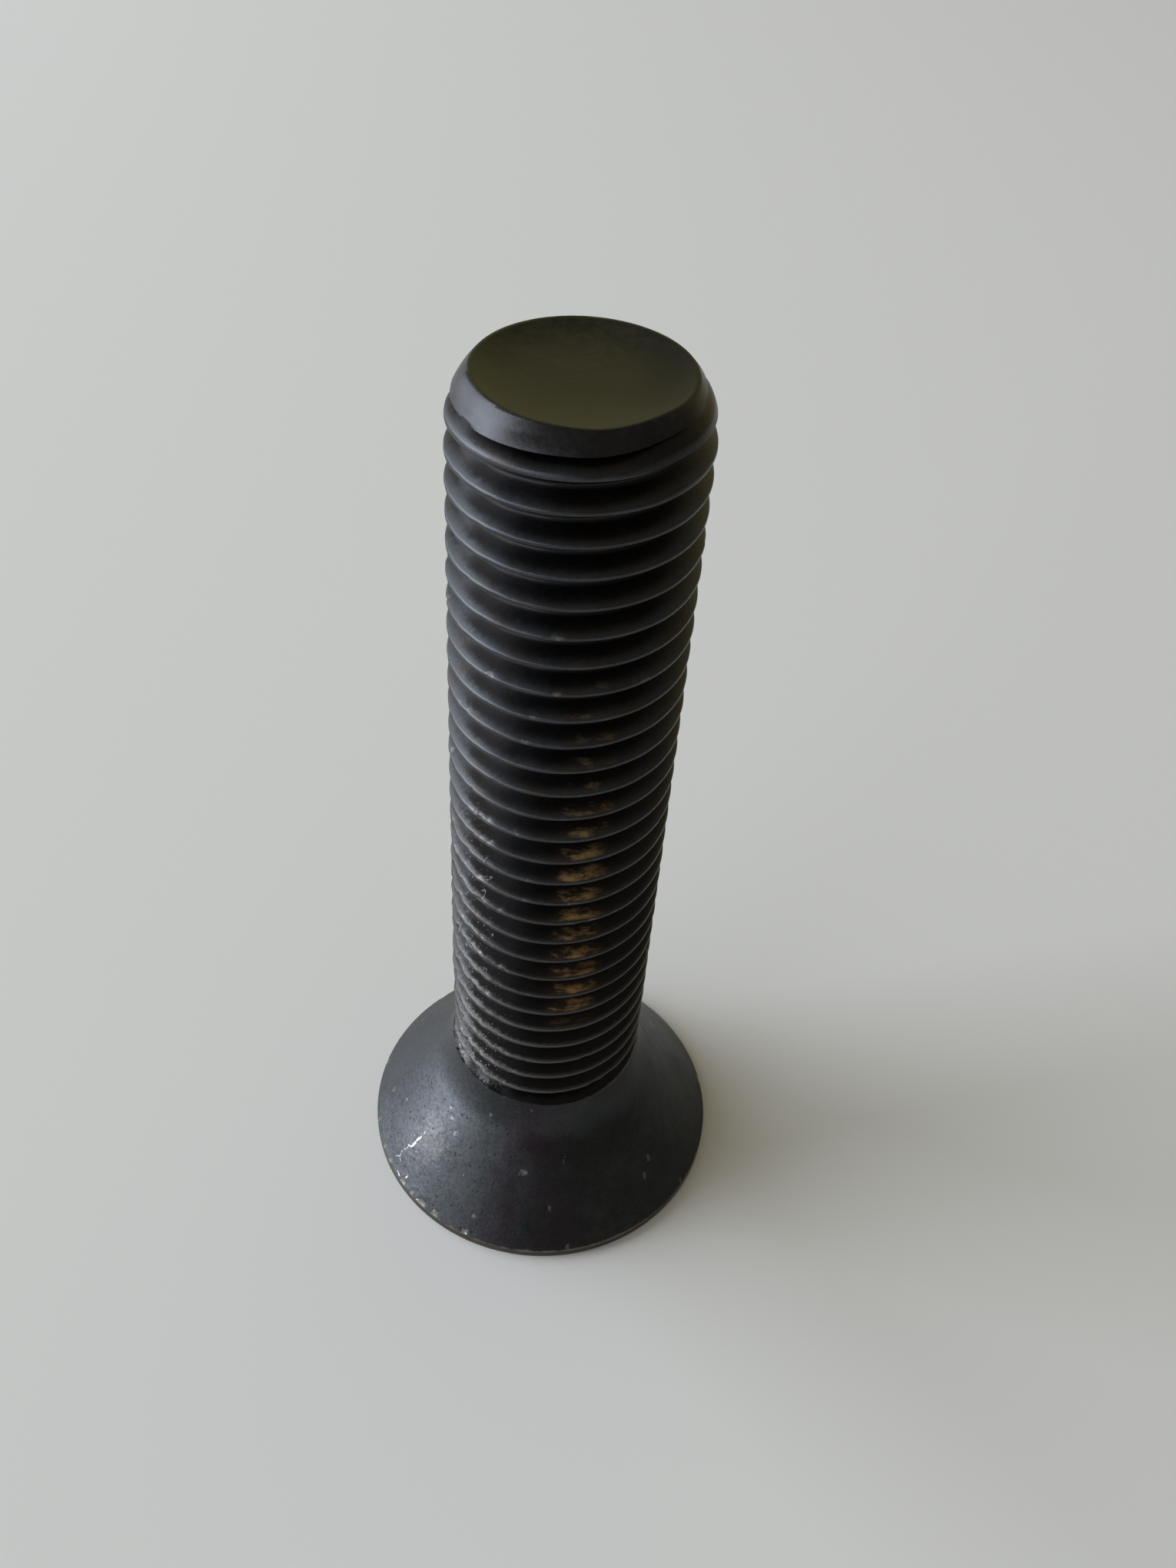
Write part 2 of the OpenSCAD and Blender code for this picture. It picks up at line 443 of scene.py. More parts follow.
def shank_mesh(angle, low_ring, high_ring, first):
    """Grid that follows the helix: vertices, triangles and marks.

    A row keeps its place on the thread's profile all the way round, so that one turn on, it has
    become the row a pitch higher. Rows that leave the shank are held at the ring that ends it.
    """
    per_turn = len(ROW_RISES)
    turns = int(np.ceil((LENGTH - NECK_Z) / PITCH)) + 4
    rises = (np.arange(-turns + 2, 2)[:, None] * PITCH + ROW_RISES).ravel()
    height = crest_height(angle)[:, None] + rises
    number = first + np.arange(height.size).reshape(height.shape)
    number = np.where(height < NECK_Z + ROW_GAP, low_ring[:, None], number)
    number = np.where(height > LENGTH - ROW_GAP, high_ring[:, None], number)

    after = np.roll(number, -1, axis=0)
    after[-1] = high_ring[0]
    after[-1, :-per_turn] = number[0, per_turn:]
    faces = triangles(number[:, :-1].ravel(), after[:, :-1].ravel(), after[:, 1:].ravel(),
                      number[:, 1:].ravel())
    a, b, c = faces.T
    kept = (a != b) & (b != c) & (a != c)

    spread = np.broadcast_to(angle[:, None], height.shape)
    inside = np.clip(height, NECK_Z, LENGTH)
    radius, nicked, battered = shank_radius(spread, inside)
    marks = shank_marks(spread, inside, nicked, battered)
    return ring_points(spread, radius, inside).reshape(-1, 3), faces[kept], marks


def bolt_mesh():
    """The whole bolt as one closed surface: points, triangles, finishes and marks."""
    angle = column_angles(COLUMNS)
    fine = column_angles(2 * COLUMNS)

    neck = ring_points(angle, NECK_R, NECK_Z)
    tip_radius, _, _ = shank_radius(angle, np.full(COLUMNS, LENGTH - 0.001))
    tip = ring_points(angle, tip_radius, LENGTH)
    low_ring = np.arange(COLUMNS)
    high_ring = low_ring + COLUMNS
    grid, grid_faces, grid_marks = shank_mesh(angle, low_ring, high_ring, 2 * COLUMNS)

    head, dented, worn = head_surface(fine)
    socket = socket_rings(snapped_to_corners(fine))
    end = end_rings(tip)

    middles = [[0, 0, DRILL_TOP], [0, 0, LENGTH - DISH_DEPTH - DISH_SAG]]
    parts = [neck, tip, grid, head.reshape(-1, 3), socket.reshape(-1, 3), end.reshape(-1, 3), middles]
    starts = np.cumsum([0] + [len(part) for part in parts])
    points = np.concatenate(parts)
    grid_at, head_at, socket_at, end_at, drill_point = starts[2:7]
    dish_middle = drill_point + 1

    # The head has twice the shank's columns, so a seam of three triangles a column joins them
    head_ring = numbered(head_at, head)
    first = head_ring[0]
    even, odd, following = first[::2], first[1::2], np.roll(first, -2)[::2]
    beside = np.roll(low_ring, -1)
    seam = np.concatenate([np.stack([low_ring, even, odd], 1), np.stack([low_ring, odd, beside], 1),
                           np.stack([beside, odd, following], 1)])
    head_faces = np.concatenate([seam, bands(head_ring)])
    socket_ring = np.concatenate([head_ring[-1:], numbered(socket_at, socket)])
    drill_tip = fan(socket_ring[-1], drill_point)[:, [1, 0, 2]]
    socket_faces = np.concatenate([bands(socket_ring), drill_tip])
    end_ring = np.concatenate([high_ring[None], numbered(end_at, end)])
    end_faces = np.concatenate([bands(end_ring[::-1]), fan(end_ring[-1], dish_middle)])

    marks = np.zeros((len(points), len(MARKS)))
    marks[grid_at:head_at] = grid_marks
    slant = head_outline()[3][:, None]
    rim = np.broadcast_to(np.exp(-((slant + 0.1) / 0.14)**2), dented.shape)
    land = np.broadcast_to(fall(slant, -0.3, -0.1), dented.shape)
    marks[head_at:socket_at] = np.stack([rim, dented, worn, land], -1).reshape(-1, len(MARKS))

    groups = [grid_faces, head_faces, socket_faces, end_faces]
    faces = np.concatenate(groups)
    finish = np.repeat(np.arange(4), [len(group) for group in groups])
    used, faces = np.unique(faces, return_inverse=True)
    return points[used], faces.reshape(-1, 3), finish, marks[used]


def link(thing):
    """Put an object into the scene."""
    bpy.context.scene.collection.objects.link(thing)


def make_bolt(materials):
    """Put the bolt's surface into one mesh object, with its marks as attributes."""
    points, faces, finish, marks = bolt_mesh()
    mesh = bpy.data.meshes.new("blade_bolt_steel")
    mesh.from_pydata((points * MM).tolist(), [], faces.tolist())
    for name, column in zip(MARKS, marks.T):
        values = mesh.attributes.new(name, "FLOAT", "POINT")
        values.data.foreach_set("value", column.astype(np.float32))
    for material in materials:
        mesh.materials.append(material)
    mesh.polygons.foreach_set("material_index", finish.astype(np.int32))
    mesh.shade_smooth()
    mesh.set_sharp_from_angle(angle=np.radians(50))
    mesh.validate()
    piece = bpy.data.objects.new("blade_bolt_steel", mesh)
    link(piece)
    return piece


# ---------------------------------------------------------------- Node tools
def feed(tree, node, inputs):
    """Set or link a node's inputs, given by name or number."""
    for name, value in inputs.items():
        if isinstance(value, bpy.types.NodeSocket):
            tree.links.new(value, node.inputs[name])
        else:
            node.inputs[name].default_value = value


def add(tree, kind, inputs=None, **settings):
    """Add a node, set its settings, and set or link its inputs."""
    node = tree.nodes.new(kind)
    for name, value in settings.items():
        setattr(node, name, value)
    feed(tree, node, inputs or {})
    return node


def maths(tree, operation, *values, clamp=False):
    """Output of a Math node on up to three values."""
    return add(tree, "ShaderNodeMath", dict(enumerate(values)), operation=operation,
               use_clamp=clamp).outputs[0]


def plus(tree, first, second):
    """Output of first + second."""
    return maths(tree, "ADD", first, second)


def minus(tree, first, second):
    """Output of first - second."""
    return maths(tree, "SUBTRACT", first, second)


def times(tree, first, second):
    """Output of first * second."""
    return maths(tree, "MULTIPLY", first, second)


def scaled(tree, value, factor, offset):
    """Output of value * factor + offset."""
    return maths(tree, "MULTIPLY_ADD", value, factor, offset)


def most(tree, first, second):
    """Output of the greater of two values."""
    return maths(tree, "MAXIMUM", first, second)


def rest_of(tree, share):
    """Output of 1 - share."""
    return minus(tree, 1.0, share)


def step_up(tree, value, low, high):
    """Output that climbs smoothly from 0 to 1 as the value goes from low to high."""
    return add(tree, "ShaderNodeMapRange", {0: value, 1: low, 2: high},
               interpolation_type="SMOOTHSTEP", clamp=True).outputs[0]


def between(tree, value, low, high, soft):
    """Output that is 1 between low and high and falls off over a soft stretch outside them."""
    up = step_up(tree, value, low - soft, low)
    return times(tree, up, rest_of(tree, step_up(tree, value, high, high + soft)))


def blend(tree, share, first, second):
    """Output of a Mix node between two numbers."""
    return add(tree, "ShaderNodeMix", {0: share, 2: first, 3: second}).outputs[0]


def tint(tree, share, first, second):
    """Output of a Mix node between two colours."""
    return add(tree, "ShaderNodeMix", {0: share, 6: first, 7: second}, data_type="RGBA").outputs[2]


def vector_maths(tree, operation, *values):
    """Output of a Vector Math node on up to three vectors."""
    node = add(tree, "ShaderNodeVectorMath", dict(enumerate(values)), operation=operation)
    return node.outputs["Value" if operation in ("DOT_PRODUCT", "LENGTH") else "Vector"]


def resized(tree, vector, factor):
    """A vector times one number."""
    return add(tree, "ShaderNodeVectorMath", {0: vector, "Scale": factor},
               operation="SCALE").outputs["Vector"]


def stretched(tree, vector, sizes):
    """A vector with its three parts scaled, so that a texture over it is drawn out or squeezed."""
    return vector_maths(tree, "MULTIPLY", vector, sizes)


def outward(tree, place):
    """Direction straight out from the bolt's axis."""
    return vector_maths(tree, "NORMALIZE", stretched(tree, place, (1, 1, 0)))


def split(tree, vector):
    """The three parts of a vector."""
    return add(tree, "ShaderNodeSeparateXYZ", {0: vector}).outputs


def noise_node(tree, vector, scale, detail, rough=0.5):
    """Noise texture over a vector in millimetres."""
    return add(tree, "ShaderNodeTexNoise",
               {"Vector": vector, "Scale": scale, "Detail": detail, "Roughness": rough})


def noise(tree, vector, scale, detail, rough=0.5):
    """Factor of a noise texture over a vector in millimetres."""
    return noise_node(tree, vector, scale, detail, rough).outputs["Fac"]


# ---------------------------------------------------------------- Shared effects
VALUE, VECTOR, COLOUR = "NodeSocketFloat", "NodeSocketVector", "NodeSocketColor"


def new_group(name, inputs, outputs):
    """Empty shader group with named inputs (kind, default) and outputs."""
    tree = bpy.data.node_groups.new(name, "ShaderNodeTree")
    for label, (kind, default) in inputs.items():
        socket = tree.interface.new_socket(label, in_out="INPUT", socket_type=kind)
        if default is not None:
            socket.default_value = default
    for label, kind in outputs.items():
        tree.interface.new_socket(label, in_out="OUTPUT", socket_type=kind)
    return tree, tree.nodes.new("NodeGroupInput").outputs, tree.nodes.new("NodeGroupOutput").inputs


def oxide_group():
    """Blotchy oxide: a broad and a fine noise, half and half, mix a dark and a light shade."""
    tree, given, result = new_group(
        "oxide_mottle",
        {"Vector": (VECTOR, None), "Dark": (COLOUR, (0.02, 0.02, 0.02, 1)),
         "Light": (COLOUR, (0.05, 0.05, 0.05, 1)), "Blotch": (VALUE, 0.2), "Grain": (VALUE, 2.0)},
        {"Color": COLOUR, "Share": VALUE})
    broad = noise(tree, given["Vector"], given["Blotch"], 3, 0.55)
    fine = noise(tree, given["Vector"], given["Grain"], 4, 0.65)
    share = step_up(tree, scaled(tree, fine, 0.5, times(tree, broad, 0.5)), 0.38, 0.62)
    tree.links.new(tint(tree, share, given["Dark"], given["Light"]), result["Color"])
    tree.links.new(share, result["Share"])
    return tree


def rubbed_group():
    """Metal rubbed through along a mask: a noise added to the mask makes its edge ragged."""
    tree, given, result = new_group(
        "rubbed_through",
        {"Vector": (VECTOR, None), "Mask": (VALUE, 0.0), "Grain": (VALUE, 3.0), "Ragged": (VALUE, 0.5),
         "Soft": (VALUE, 0.2)},
        {"Share": VALUE})
    ragged = minus(tree, noise(tree, given["Vector"], given["Grain"], 4, 0.7), 0.5)
    ragged = times(tree, ragged, given["Ragged"])
    level = scaled(tree, ragged, 2.0, given["Mask"])
    low = minus(tree, 0.5, given["Soft"])
    high = plus(tree, 0.5, given["Soft"])
    share = times(tree, step_up(tree, level, low, high), step_up(tree, given["Mask"], 0.0, 0.3))
    tree.links.new(share, result["Share"])
    return tree


def scratch_group():
    """A scratch: 1 within its width of the line from start to end, with wavering edges.

    A point's foot on the line is the share (reach . run) / (run . run) of the way along it, held
    between 0 and 1. A noise bends the line, and another varies its width.
    """
    tree, given, result = new_group(
        "scratch_line",
        {"Vector": (VECTOR, None), "Start": (VECTOR, None), "End": (VECTOR, None),
         "Width": (VALUE, 0.1)},
        {"Share": VALUE})
    bend = noise_node(tree, given["Vector"], 2.5, 3.0).outputs["Color"]
    bend = vector_maths(tree, "MULTIPLY_ADD", bend, (0.36, 0.36, 0.36), (-0.18, -0.18, -0.18))
    run = vector_maths(tree, "SUBTRACT", given["End"], given["Start"])
    reach = vector_maths(tree, "ADD", given["Vector"], bend)
    reach = vector_maths(tree, "SUBTRACT", reach, given["Start"])
    along = maths(tree, "DIVIDE", vector_maths(tree, "DOT_PRODUCT", reach, run),
                  vector_maths(tree, "DOT_PRODUCT", run, run), clamp=True)
    foot = resized(tree, run, along)
    away = vector_maths(tree, "LENGTH", vector_maths(tree, "SUBTRACT", reach, foot))
    width = times(tree, plus(tree, noise(tree, given["Vector"], 4.0, 2.0), 0.1), given["Width"])
    share = rest_of(tree, step_up(tree, away, times(tree, width, 0.8), times(tree, width, 2.0)))
    tree.links.new(share, result["Share"])
    return tree


def grit_group():
    """Small specks: round cells of a Voronoi pattern, bent by a noise and thinned out at random."""
    tree, given, result = new_group(
        "grit_specks",
        {"Vector": (VECTOR, None), "Scale": (VALUE, 2.0), "Size": (VALUE, 0.2), "Chance": (VALUE, 0.3)},
        {"Share": VALUE})
    bend = noise_node(tree, given["Vector"], 3.0, 2.0).outputs["Color"]
    bent = vector_maths(tree, "MULTIPLY_ADD", bend, (0.3, 0.3, 0.3), given["Vector"])
    cells = add(tree, "ShaderNodeTexVoronoi", {"Vector": bent, "Scale": given["Scale"]})
    random = add(tree, "ShaderNodeSeparateColor", {"Color": cells.outputs["Color"]}).outputs[0]
    chosen = maths(tree, "LESS_THAN", random, given["Chance"])
    size = times(tree, given["Size"], plus(tree, random, 0.5))
    near = rest_of(tree, step_up(tree, cells.outputs["Distance"], times(tree, size, 0.5), size))
    tree.links.new(times(tree, near, chosen), result["Share"])
    return tree


def place_group():
    """Where a point lies on the thread: its angle, and its height above the nearest crest in mm."""
    tree, given, result = new_group(
        "thread_place",
        {"Vector": (VECTOR, None)},
        {"Angle": VALUE, "Above": VALUE})
    x, y, z = split(tree, given["Vector"])
    angle = maths(tree, "ARCTAN2", y, x)
    turn = scaled(tree, z, 1 / PITCH, START / (2 * np.pi) - LENGTH / PITCH)
    turn = scaled(tree, angle, -1 / (2 * np.pi), turn)
    above = minus(tree, turn, maths(tree, "ROUND", turn))
    tree.links.new(angle, result["Angle"])
    tree.links.new(times(tree, above, PITCH), result["Above"])
    return tree


GROUPS = {group.name: group for group in (
    oxide_group(), rubbed_group(), scratch_group(), grit_group(), place_group())}


def placed(tree, name, **inputs):
    """Outputs of a shader group placed with the given inputs."""
    return add(tree, "ShaderNodeGroup", inputs, node_tree=GROUPS[name]).outputs


# ---------------------------------------------------------------- Finishes
# Oxide of the thread, from its roots to the cap at the end, with painted shade for the roots and
# grooves
OXIDE_DARK = (0.036, 0.038, 0.043, 1)
OXIDE_LIGHT = (0.055, 0.059, 0.068, 1)
ROOT_SHADE = (0.023, 0.022, 0.023, 1)
GROOVE_SHADE = (0.013, 0.011, 0.010, 1)
BROWNED = (0.046, 0.037, 0.034, 1)
ENDING = (0.026, 0.024, 0.022, 1)

# Oxide of the head and of the dished end
HEAD_DARK = (0.042, 0.043, 0.045, 1)
HEAD_LIGHT = (0.054, 0.055, 0.058, 1)
# A painted sheen for the side facing the brightest window
LIT_SHEEN = (0.089, 0.093, 0.102, 1)
PITTED = (0.020, 0.020, 0.021, 1)
# A painted purple reflection for the front of the cone
REFLECTED_PURPLE = (0.045, 0.033, 0.042, 1)
GREENED = (0.037, 0.041, 0.041, 1)
LAND_BROWN = (0.085, 0.075, 0.060, 1)
# The dish's olive is partly oxide and partly a painted reflection of the olive wall behind, and its
# grey is painted shade towards +X
DISH_OXIDE_REFLECTION_DARK = (0.05, 0.051, 0.038, 1)
DISH_OXIDE_REFLECTION_LIGHT = (0.07, 0.072, 0.052, 1)
DISH_SHADE_GREY = (0.03, 0.032, 0.032, 1)

# Metal that shows where the oxide has gone
RUBBED = (0.080, 0.084, 0.090, 1)
RUBBED_LOW = (0.094, 0.092, 0.089, 1)
PATCH_WORN = (0.135, 0.133, 0.134, 1)
CHIPPED = (0.145, 0.133, 0.115, 1)
WORN = (0.20, 0.198, 0.195, 1)
EDGE_WORN = (0.22, 0.19, 0.15, 1)
BARE = (0.46, 0.45, 0.44, 1)

# Golden residue, partly a painted warm reflection, on the upper flanks, low down and high up
RESIDUE_GLINT_GOLD = (0.28, 0.155, 0.045, 1)
RESIDUE_GLINT_GOLD_HIGH = (0.17, 0.13, 0.055, 1)

# Direction of the side facing the brightest window, which the finishes paint lighter, and stretches of
# angle in radians
LIT_SIDE = (-0.99, -0.14, 0)
# Where the cap keeps its rubbed grey, which also stands in for a painted highlight
CAP_RUBBED_HIGHLIGHT = (-2.35, -1.95)
CONE_STREAKED = (-2.2, -1.75)
# Where the cone gets a painted purple reflection
CONE_REFLECTING = (-1.68, -1.5)
CONE_PITTED = (-2.75, -1.9)
CONE_PLAIN = (-1.75, -1.4)

# Scratches on the cone: half width, then the points that the scratch runs through, each an angle
# in degrees and a distance up from the rim
SCRATCHES = [
    (0.07, (-146.4, 6.1), (-146.3, 5.4)),
    (0.14, (-146.3, 5.4), (-147.0, 4.6), (-147.0, 4.0), (-147.4, 3.5)),
    (0.05, (-149.0, 5.1), (-149.6, 4.6)),
    (0.09, (-147.4, 3.5), (-149.2, 3.3)),
    (0.08, (-148.4, 3.1), (-149.2, 2.6)),
    (0.07, (-149.2, 2.2), (-148.9, 1.6), (-147.4, 1.4)),
    (0.06, (-149.0, 1.6), (-150.2, 1.2)),
    (0.05, (-145.8, 0.4), (-144.1, 0.2)),
    (0.07, (-141.5, 1.2), (-141.6, 0.7)),
    (0.05, (-133.7, 0.1), (-129.8, 0.1)),
    (0.035, (-126.2, 0.1), (-125.9, 0.6)),
    (0.04, (-114.1, 0.2), (-112.5, 0.1)),
    (0.025, (-121.4, 5.8), (-121.2, 5.4)),
    (0.03, (-78.1, 9.1), (-76.6, 9.8))]


def new_finish(name):
    """A node material: itself, its tree, its Principled shader and the position in millimetres."""
    material = bpy.data.materials.new(name)
    material.use_nodes = True
    tree = material.node_tree
    place = resized(tree, add(tree, "ShaderNodeTexCoord").outputs["Object"], 1 / MM)
    return material, tree, tree.nodes["Principled BSDF"], place


def mark(tree, name):
    """Value of one of the bolt's marks."""
    return add(tree, "ShaderNodeAttribute", attribute_name=name).outputs["Fac"]


def join(tree, shader, colour, roughness, metallic, height):
    """Feed the shader, with the height in millimetres as its bump."""
    bump = add(tree, "ShaderNodeBump", {"Height": height, "Strength": 1.0, "Distance": MM})
    feed(tree, shader, {"Base Color": colour, "Roughness": roughness, "Metallic": metallic,
                        "Normal": bump.outputs["Normal"]})


def ring_row(tree, place, height, angle, above):
    """A row of little raised rings, near the crests, where a tool rubbed down the shank. Their light
    colour is a painted highlight on the dents' rims.

    A ring is where the distance from its middle lies between 0.24 and 0.28 mm. Noises shift the
    middles about and leave some rings open or out.
    """
    around = times(tree, minus(tree, angle, np.radians(RUB_SIDE)), THREAD_R)
    stray = noise(tree, stretched(tree, place, (0.05, 0.05, 1)), 0.45, 1)
    around = plus(tree, around, times(tree, minus(tree, stray, 0.5), 7.0))
    up = minus(tree, above, times(tree, noise(tree, place, 0.9, 2), 0.6))
    away = plus(tree, maths(tree, "POWER", around, 2.0), maths(tree, "POWER", up, 2.0))
    away = maths(tree, "SQRT", away)
    ring = times(tree, between(tree, away, 0.24, 0.28, 0.08),
                 between(tree, height, RUB_BOTTOM, RUB_TOP - 2, 1.0))
    return times(tree, ring, step_up(tree, noise(tree, place, 1.6, 3), 0.46, 0.56))


def thread_finish():
    """Rolled thread: painted shade in the roots and grooves, crests rubbed grey, flecks down the
    battered side, gold residue that is partly a painted warm reflection, and a painted sheen towards
    the brightest window.
    """
    material, tree, shader, place = new_finish("black_oxide_thread")
    angle, above = placed(tree, "thread_place", Vector=place)
    height = split(tree, place)[2]
    tall = stretched(tree, place, (1, 1, 0.4))
    upper = step_up(tree, height, 35.0, 72.0)
    ending = step_up(tree, height, LENGTH - 3, LENGTH - 1.2)
    facing_lit = vector_maths(tree, "DOT_PRODUCT", outward(tree, place), LIT_SIDE)
    # Share of the side facing the brightest window, which the finish paints lighter and less shaded
    window_side = step_up(tree, facing_lit, 0.84, 0.97)
    worn = mark(tree, "worn")

    # Oxide, browned here and there, with painted shade towards the roots, less on the side facing the
    # brightest window
    oxide = placed(tree, "oxide_mottle", Vector=place, Dark=OXIDE_DARK, Light=OXIDE_LIGHT, Blotch=0.3,
                   Grain=2.5)
    browned = step_up(tree, noise(tree, place, 0.35, 3), 0.45, 0.65)
    browned = times(tree, browned, scaled(tree, ending, -0.7, 1.0))
    colour = tint(tree, browned, oxide["Color"], BROWNED)
    shaded = step_up(tree, above, 0.0, scaled(tree, upper, 0.5, 0.4))
    shaded = times(tree, shaded, scaled(tree, window_side, -0.4, 1.0))
    colour = tint(tree, shaded, colour, ROOT_SHADE)

    # Painted shade in the grooves of the battered side, in a ragged band that is also rougher, and
    # fainter on the side facing the brightest window
    groove_shade = plus(tree, above, times(tree, noise(tree, tall, 1.6, 4, 0.6), -0.5))
    groove_shade = times(tree, step_up(tree, groove_shade, 0.05, 0.25), step_up(tree, worn, 0.02, 0.25))
    groove_shade = times(tree, groove_shade, scaled(tree, window_side, -0.8, 0.85))
    colour = tint(tree, groove_shade, colour, GROOVE_SHADE)

    # Crests rubbed grey, in a band that wear widens, but hardly on the cap at the end, save at its
    # front-left, where the grey is also a painted highlight. Higher up, the grey is painted fainter
    # away from the brightest window, and the scuffs on the battered side that faces it are also a
    # painted sheen.
    reach = scaled(tree, worn, 0.22, scaled(tree, upper, 0.14, 0.23))
    reach = scaled(tree, window_side, 0.06, reach)
    ridge = minus(tree, reach, maths(tree, "ABSOLUTE", above))
    ridge = scaled(tree, ridge, scaled(tree, upper, -0.8, 3.0), 0.5)
    rubbed = placed(tree, "rubbed_through", Vector=tall, Mask=ridge, Grain=2.2,
                    Ragged=scaled(tree, worn, 1.7, 0.25), Soft=0.4)["Share"]
    # Rubbed grey on the cap kept only at its front-left, as a painted highlight
    kept = between(tree, angle, *CAP_RUBBED_HIGHLIGHT, 0.35)
    kept = scaled(tree, ending, scaled(tree, kept, 0.9, -0.8), 1.0)
    unlit_faint = rest_of(tree, step_up(tree, facing_lit, 0.6, 0.95))
    unlit_faint = times(tree, unlit_faint, step_up(tree, height, 24.0, 34.0))
    rubbed = times(tree, rubbed, times(tree, kept, scaled(tree, unlit_faint, -0.7, 1.0)))
    rubbed = times(tree, rubbed, scaled(tree, window_side, -0.3, 1.0))
    scuffed_and_lit = step_up(tree, noise(tree, tall, 2.2, 4, 0.7), 0.54, 0.62)
    scuffed_and_lit = times(tree, scuffed_and_lit, times(tree, worn, window_side))
    colour = tint(tree, most(tree, rubbed, scuffed_and_lit), colour, tint(tree, upper, RUBBED_LOW, RUBBED))

    # Nicks, specks and rubbed rings; the rings' light colour is a painted highlight on the dents' rims
    nicked = placed(tree, "rubbed_through", Vector=tall, Mask=mark(tree, "nick"), Grain=3.0,
                    Ragged=1.2, Soft=0.3)["Share"]
    specks = placed(tree, "grit_specks", Vector=tall, Scale=3.4, Size=0.36, Chance=0.5)["Share"]
    specks = times(tree, specks, step_up(tree, worn, 0.1, 0.7))
    rings = ring_row(tree, place, height, angle, above)
    flecks = most(tree, times(tree, nicked, 0.5), times(tree, specks, 0.8))
    flecks = most(tree, flecks, times(tree, rings, 0.6))
    colour = tint(tree, flecks, colour, WORN)

    # Golden residue that is partly a painted warm reflection, in grains drawn out round the bolt
    residue_glint_mask = mark(tree, "stain_and_glint")
    drawn = stretched(tree, place, (0.5, 0.5, 2.4))
    residue_glint = placed(tree, "rubbed_through", Vector=drawn, Mask=times(tree, residue_glint_mask, 0.56), Grain=1.1,
                  Ragged=1.5, Soft=0.4)["Share"]
    residue_glint = most(tree, times(tree, residue_glint, residue_glint_mask), times(tree, residue_glint_mask, 0.1))
    colour = tint(tree, residue_glint, colour, tint(tree, upper, RESIDUE_GLINT_GOLD, RESIDUE_GLINT_GOLD_HIGH))
    colour = tint(tree, times(tree, ending, 0.35), colour, ENDING)

    roughness = blend(tree, oxide["Share"], 0.28, 0.36)
    roughness = blend(tree, groove_shade, roughness, 0.6)
    roughness = blend(tree, rubbed, roughness, 0.5)
    roughness = blend(tree, residue_glint, roughness, 0.7)
    bump = scaled(tree, noise(tree, place, 5.0, 4, 0.6), 0.010, times(tree, specks, 0.025))
    bump = scaled(tree, scuffed_and_lit, 0.015, bump)
    bump = scaled(tree, rings, 0.04, bump)
    join(tree, shader, colour, roughness, rest_of(tree, residue_glint), bump)
    return material


def cone_scratches(tree, place):
    """Mask of the scratches on the cone, each a chain of straight strokes."""
    bare = 0.0
    for width, *path in SCRATCHES:
        for start, end in zip(path, path[1:]):
            stroke = placed(tree, "scratch_line", Vector=place, Start=head_point(*start),
                            End=head_point(*end), Width=width)["Share"]
            bare = most(tree, stroke, bare)
    return bare


